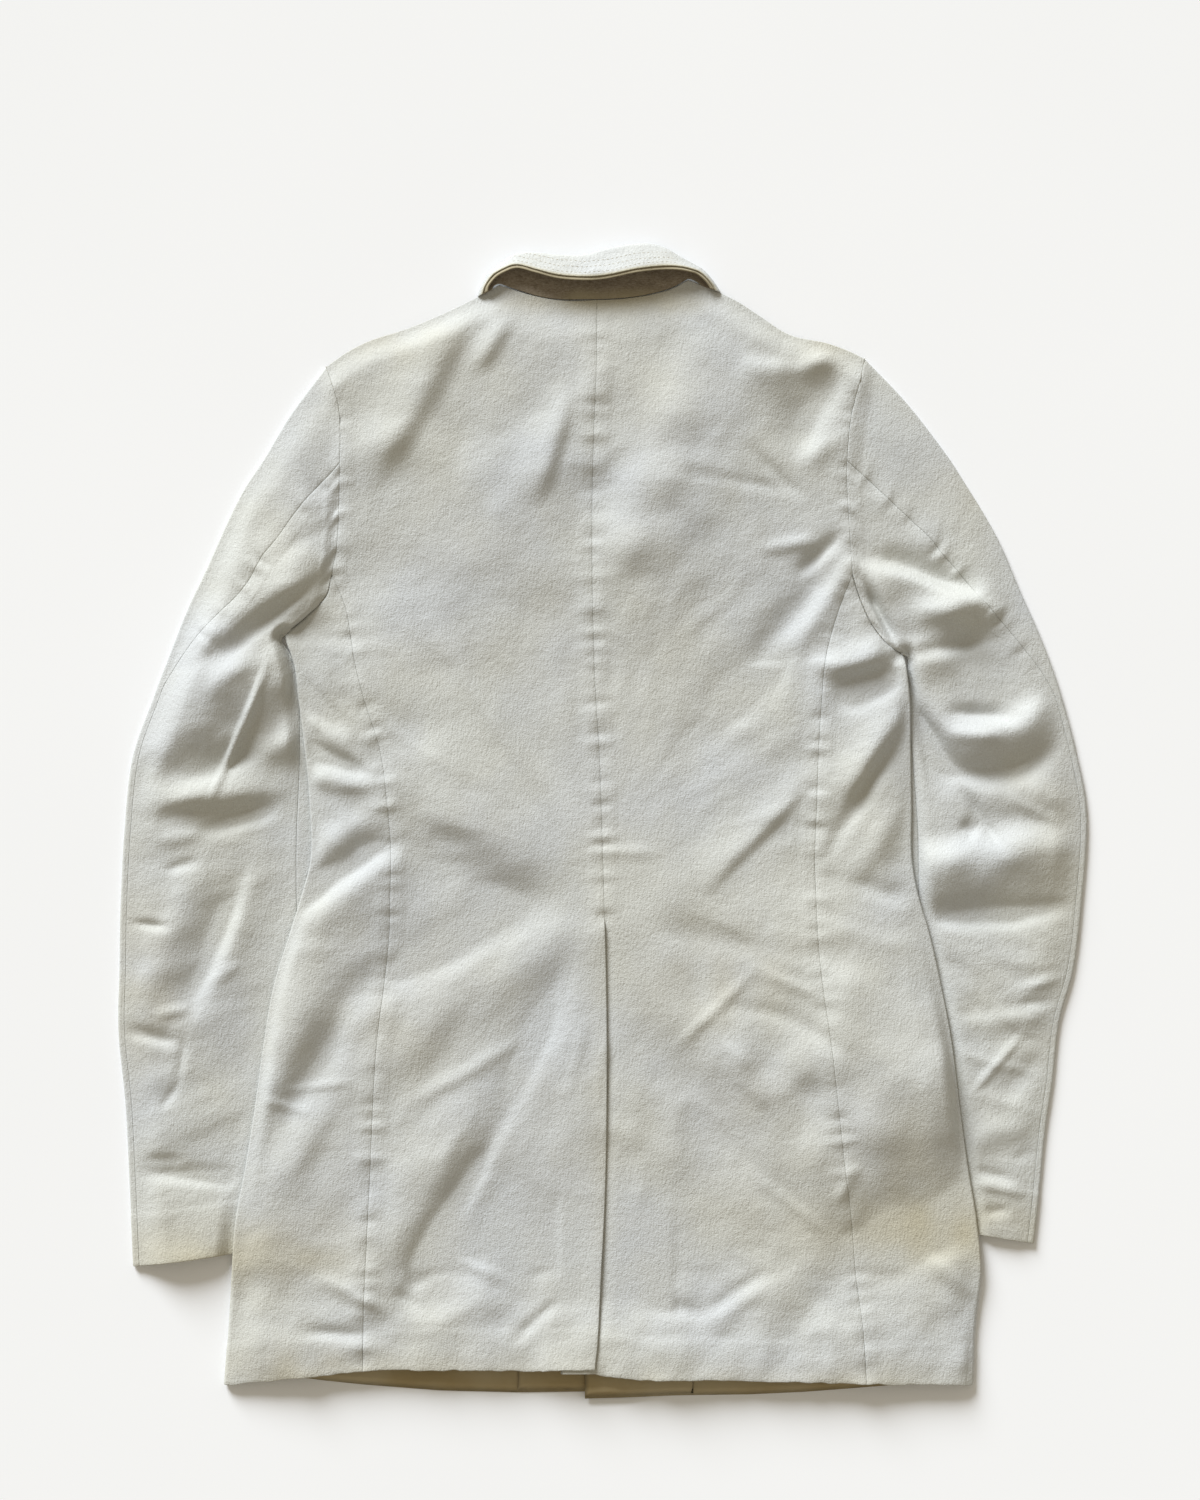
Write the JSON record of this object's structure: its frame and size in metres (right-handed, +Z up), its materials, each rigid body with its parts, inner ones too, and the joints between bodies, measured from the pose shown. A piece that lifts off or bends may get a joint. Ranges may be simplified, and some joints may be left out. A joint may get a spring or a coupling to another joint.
{
  "type": "tailored jacket",
  "caption": "Off-white cotton tailored jacket laid flat on its front, back up, with a turned-down collar, two-piece sleeves and a centre back vent.",
  "frame": {"origin": "on the surface the jacket lies on, under the middle of its width and length", "axes": "+Y from the hem to the collar, +X to the right as the jacket's back is looked at, +Z up out of the jacket's back"},
  "size_m": [0.6775, 0.8085, 0.0194],
  "materials": {
    "cotton_cloth": "heavy brushed off-white cotton, dull, slightly yellowed at the hems and cuffs",
    "facing_cloth": "the same cotton on the inside of the fronts, more yellowed, dull",
    "collar_felt": "grey-brown wool felt under the collar, dull"
  },
  "bodies": {
    "root": {"back_left": "cotton_cloth", "back_right": "cotton_cloth", "side_left": "cotton_cloth", "side_right": "cotton_cloth", "front_left": "cotton_cloth", "front_right": "cotton_cloth", "facing_left": "facing_cloth", "facing_right": "facing_cloth", "lapel_left": "cotton_cloth", "lapel_right": "cotton_cloth", "topsleeve_left": "cotton_cloth", "topsleeve_right": "cotton_cloth", "undersleeve_left": "cotton_cloth", "undersleeve_right": "cotton_cloth", "collar_top": "cotton_cloth", "collar_under": "collar_felt"}
  },
  "joints": []
}
